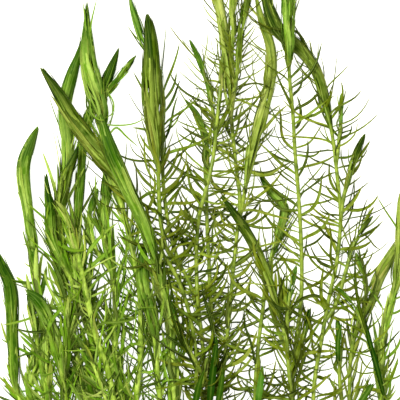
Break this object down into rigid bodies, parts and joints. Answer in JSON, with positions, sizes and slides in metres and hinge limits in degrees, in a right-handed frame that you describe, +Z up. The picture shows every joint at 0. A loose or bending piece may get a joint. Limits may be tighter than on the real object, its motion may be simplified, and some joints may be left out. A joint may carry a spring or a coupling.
{
  "type": "aquatic plant clump",
  "caption": "Clump of stream bogmoss laid flat: slender shoots with needle leaves and pointed leaf bundles, forking from one creeping stem.",
  "frame": {"origin": "on the surface that the clump lies on, under the middle of its bounding box", "axes": "+Y from the creeping stem towards the shoot tips, +X to the right seen from above, +Z up"},
  "size_m": [0.1738, 0.2196, 0.0196],
  "materials": {
    "creeping_stem": "smooth, slightly wet plant stem",
    "fresh_leaves": "thin wet leaves with a soft sheen",
    "pale_leaves": "thin wet leaves with a soft sheen",
    "olive_leaves": "thin wet leaves with a soft sheen",
    "dark_leaves": "thin wet leaves with a soft sheen",
    "teal_leaves": "thin wet leaves with a soft sheen"
  },
  "bodies": {
    "root": {"creeping_stem": "creeping_stem", "outer_bright_shoot": "fresh_leaves", "leaning_bright_shoot": "fresh_leaves", "far_left_shoot": "dark_leaves", "two_tipped_shoot": "dark_leaves", "two_tipped_shoot_fork": "dark_leaves", "curved_bright_shoot": "fresh_leaves", "curved_bright_shoot_fork": "olive_leaves", "thin_olive_shoot": "dark_leaves", "bent_dark_shoot": "fresh_leaves", "short_light_shoot": "fresh_leaves", "short_light_shoot_fork": "fresh_leaves", "tall_left_shoot": "fresh_leaves", "tall_light_shoot": "pale_leaves", "tall_dark_shoot": "olive_leaves", "long_brown_shoot": "olive_leaves", "young_pale_shoot": "pale_leaves", "broad_diagonal_shoot": "fresh_leaves", "streaked_shoot": "fresh_leaves", "front_pale_shoot": "pale_leaves", "front_pale_shoot_fork": "teal_leaves", "centre_shoot": "pale_leaves", "centre_shoot_middle_fork": "pale_leaves", "centre_shoot_right_fork": "olive_leaves", "inner_shoot": "fresh_leaves", "slender_shoot": "fresh_leaves", "slender_shoot_fork": "pale_leaves", "centre_shoot_tall_fork": "pale_leaves", "hooked_shoot": "fresh_leaves", "hooked_shoot_bud": "teal_leaves", "young_dark_shoot": "dark_leaves", "dark_strand_shoot": "dark_leaves", "arching_shoot": "fresh_leaves", "arching_shoot_upper_fork": "teal_leaves", "arching_shoot_outer_fork": "olive_leaves", "arching_shoot_lower_fork": "fresh_leaves", "upright_shoot": "fresh_leaves", "upright_shoot_fork": "dark_leaves", "dark_leaning_shoot": "olive_leaves", "dark_leaning_shoot_fork": "teal_leaves", "right_shoot": "pale_leaves", "right_shoot_fork": "fresh_leaves", "right_shoot_inner_fork": "fresh_leaves", "right_edge_shoot": "pale_leaves", "right_edge_shoot_fork": "dark_leaves", "right_shoot_bud": "fresh_leaves"}
  },
  "joints": []
}
